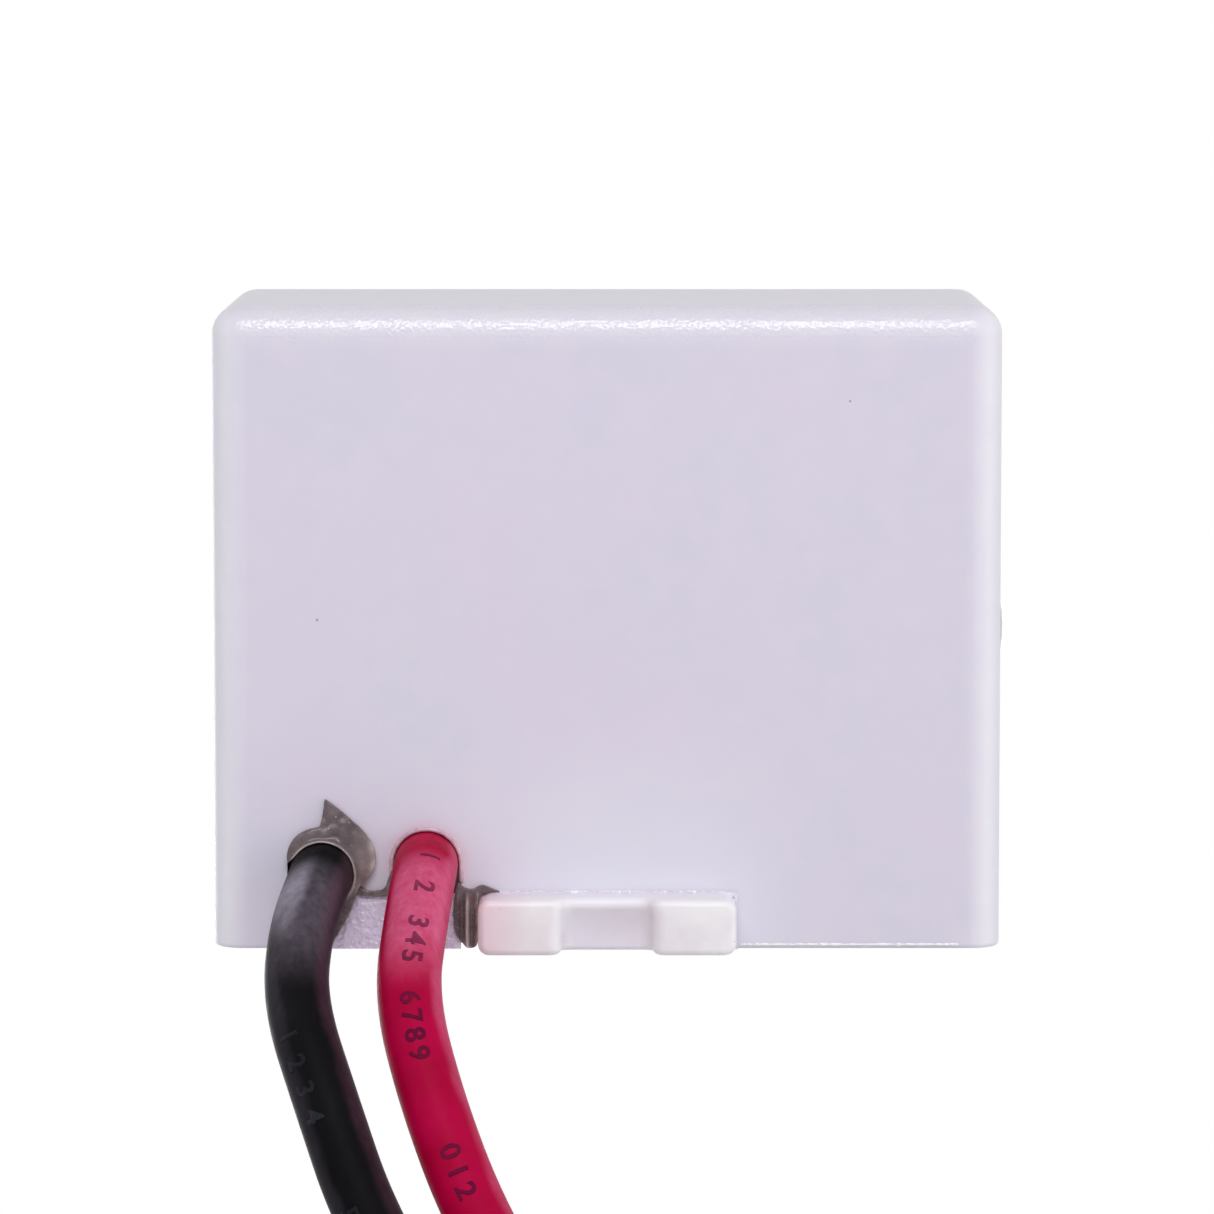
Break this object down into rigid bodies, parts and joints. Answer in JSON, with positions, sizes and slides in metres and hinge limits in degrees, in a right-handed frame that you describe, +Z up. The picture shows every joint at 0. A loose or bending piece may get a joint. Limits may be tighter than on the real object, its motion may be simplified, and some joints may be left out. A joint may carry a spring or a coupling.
{
  "type": "surge protection module",
  "caption": "Small potted surge protection module: closed plastic box with stranded hot leads leaving the front near its base.",
  "frame": {"origin": "middle of the flat rear face", "axes": "+X to the right seen from the lead side, +Y out of the rear face, +Z up; the leads leave towards -Y and hang towards -Z"},
  "size_m": [0.0345, 0.0304, 0.1677],
  "materials": {
    "housing_plastic": "white moulded thermoplastic with a faint lavender cast, satin",
    "cover_plastic": "whiter, slightly translucent moulded plastic, satin",
    "potting_resin": "cured grey-brown casting resin, glossy where it ran out",
    "clear_glue": "clear glue in the gap round the foot, wet look",
    "lens_plastic": "smoked grey-green clear plastic, polished",
    "led_resin": "tinted clear resin, polished",
    "tinned_metal": "tinned copper, bright",
    "resistor_coating": "tan lacquer",
    "diode_body": "black moulded epoxy",
    "board_laminate": "green glass-epoxy laminate",
    "copper": "bare copper foil",
    "solder": "dull tin solder",
    "fuse_body": "glazed white ceramic",
    "varistor_ceramic": "sintered dark grey zinc oxide",
    "electrode_silver": "fired silver, matt",
    "varistor_coating": "blue epoxy powder coat",
    "black_insulation": "black extruded insulation, soft sheen",
    "red_insulation": "crimson extruded insulation, soft sheen"
  },
  "bodies": {
    "root": {"housing_shell": "housing_plastic", "base_cover": "cover_plastic", "potting_compound": "potting_resin", "black_lead_seal": "potting_resin", "red_lead_seal": "potting_resin", "cover_gap_seal": "potting_resin", "tongue_seam_seal": "potting_resin", "foot_glue_line": "clear_glue", "indicator_lens": "lens_plastic", "status_led": "led_resin", "status_led_legs": "tinned_metal", "led_resistor": "resistor_coating", "led_resistor_leads": "tinned_metal", "led_diode": "diode_body", "led_diode_leads": "tinned_metal", "circuit_board": "board_laminate", "board_tracks": "copper", "solder_joints": "solder", "thermal_fuse": "fuse_body", "thermal_fuse_wires": "tinned_metal", "black_lead": "black_insulation", "black_lead_held_end": "black_insulation", "black_lead_conductor": "tinned_metal", "black_lead_tip": "tinned_metal", "red_lead": "red_insulation", "red_lead_held_end": "red_insulation", "red_lead_conductor": "tinned_metal", "red_lead_tip": "tinned_metal", "front_varistor_ceramic": "varistor_ceramic", "front_varistor_electrodes": "electrode_silver", "front_varistor_coating": "varistor_coating", "front_varistor_legs": "tinned_metal", "rear_varistor_ceramic": "varistor_ceramic", "rear_varistor_electrodes": "electrode_silver", "rear_varistor_coating": "varistor_coating", "rear_varistor_legs": "tinned_metal"}
  },
  "joints": []
}
